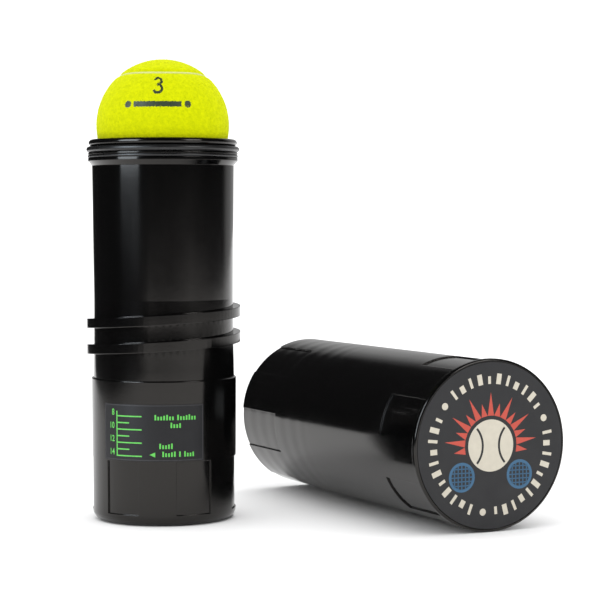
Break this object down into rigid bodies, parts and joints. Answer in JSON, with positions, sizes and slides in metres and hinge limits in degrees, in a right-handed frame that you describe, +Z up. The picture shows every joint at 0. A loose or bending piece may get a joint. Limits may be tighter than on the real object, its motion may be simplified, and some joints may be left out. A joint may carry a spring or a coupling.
{
  "type": "tennis ball pressure can",
  "caption": "Two-part screw-together pressure can for tennis balls, opened: the threaded ball tube stands with its balls and the tall cover lies beside it.",
  "frame": {"origin": "centre of the flat underside of the standing base", "axes": "+Z up along the ball tube; +Y along the lying cover's axis, out of its mouth"},
  "size_m": [0.2001, 0.1975, 0.2296],
  "materials": {
    "gloss_black": "glossy",
    "foot_plastic": "satin",
    "ring_rubber": "semi-gloss",
    "label_film": "satin",
    "badge_film": "satin",
    "felt": "felt",
    "core_rubber": "matte",
    "seam_rubber": "matte"
  },
  "bodies": {
    "base": {"ball_tube": "gloss_black", "base_shell": "gloss_black", "base_foot": "foot_plastic", "seal_ring_upper": "ring_rubber", "seal_ring_lower": "ring_rubber", "pressure_label": "label_film"},
    "flange": {"cover_flange": "gloss_black"},
    "cover": {"cover_barrel": "gloss_black", "cover_badge": "badge_film"},
    "ball_low": {"ball_low_core": "core_rubber", "ball_low_seam": "seam_rubber", "ball_low_felt_a": "felt", "ball_low_felt_b": "felt"},
    "ball_mid": {"ball_mid_core": "core_rubber", "ball_mid_seam": "seam_rubber", "ball_mid_felt_a": "felt", "ball_mid_felt_b": "felt"},
    "ball_top": {"ball_top_core": "core_rubber", "ball_top_seam": "seam_rubber", "ball_top_felt_a": "felt", "ball_top_felt_b": "felt"}
  },
  "joints": [
    {"name": "cover_tip", "type": "hinge", "parent": "base", "child": "flange", "pos_m": [0.12, 0.0795, 0.0005], "axis": [-1, 0, 0], "range_deg": [0, 90]},
    {"name": "cover_turn", "type": "hinge", "parent": "flange", "child": "cover", "pos_m": [0.12, 0.08, 0.0416], "axis": [0, 1, 0], "continuous": true},
    {"name": "ball_low_lift", "type": "slide", "parent": "base", "child": "ball_low", "axis": [0, 0, 1], "range_m": [0, 0.165]},
    {"name": "ball_mid_lift", "type": "slide", "parent": "ball_low", "child": "ball_mid", "axis": [0, 0, 1], "range_m": [0, 0.1]},
    {"name": "ball_top_lift", "type": "slide", "parent": "ball_mid", "child": "ball_top", "axis": [0, 0, 1], "range_m": [0, 0.07]}
  ]
}
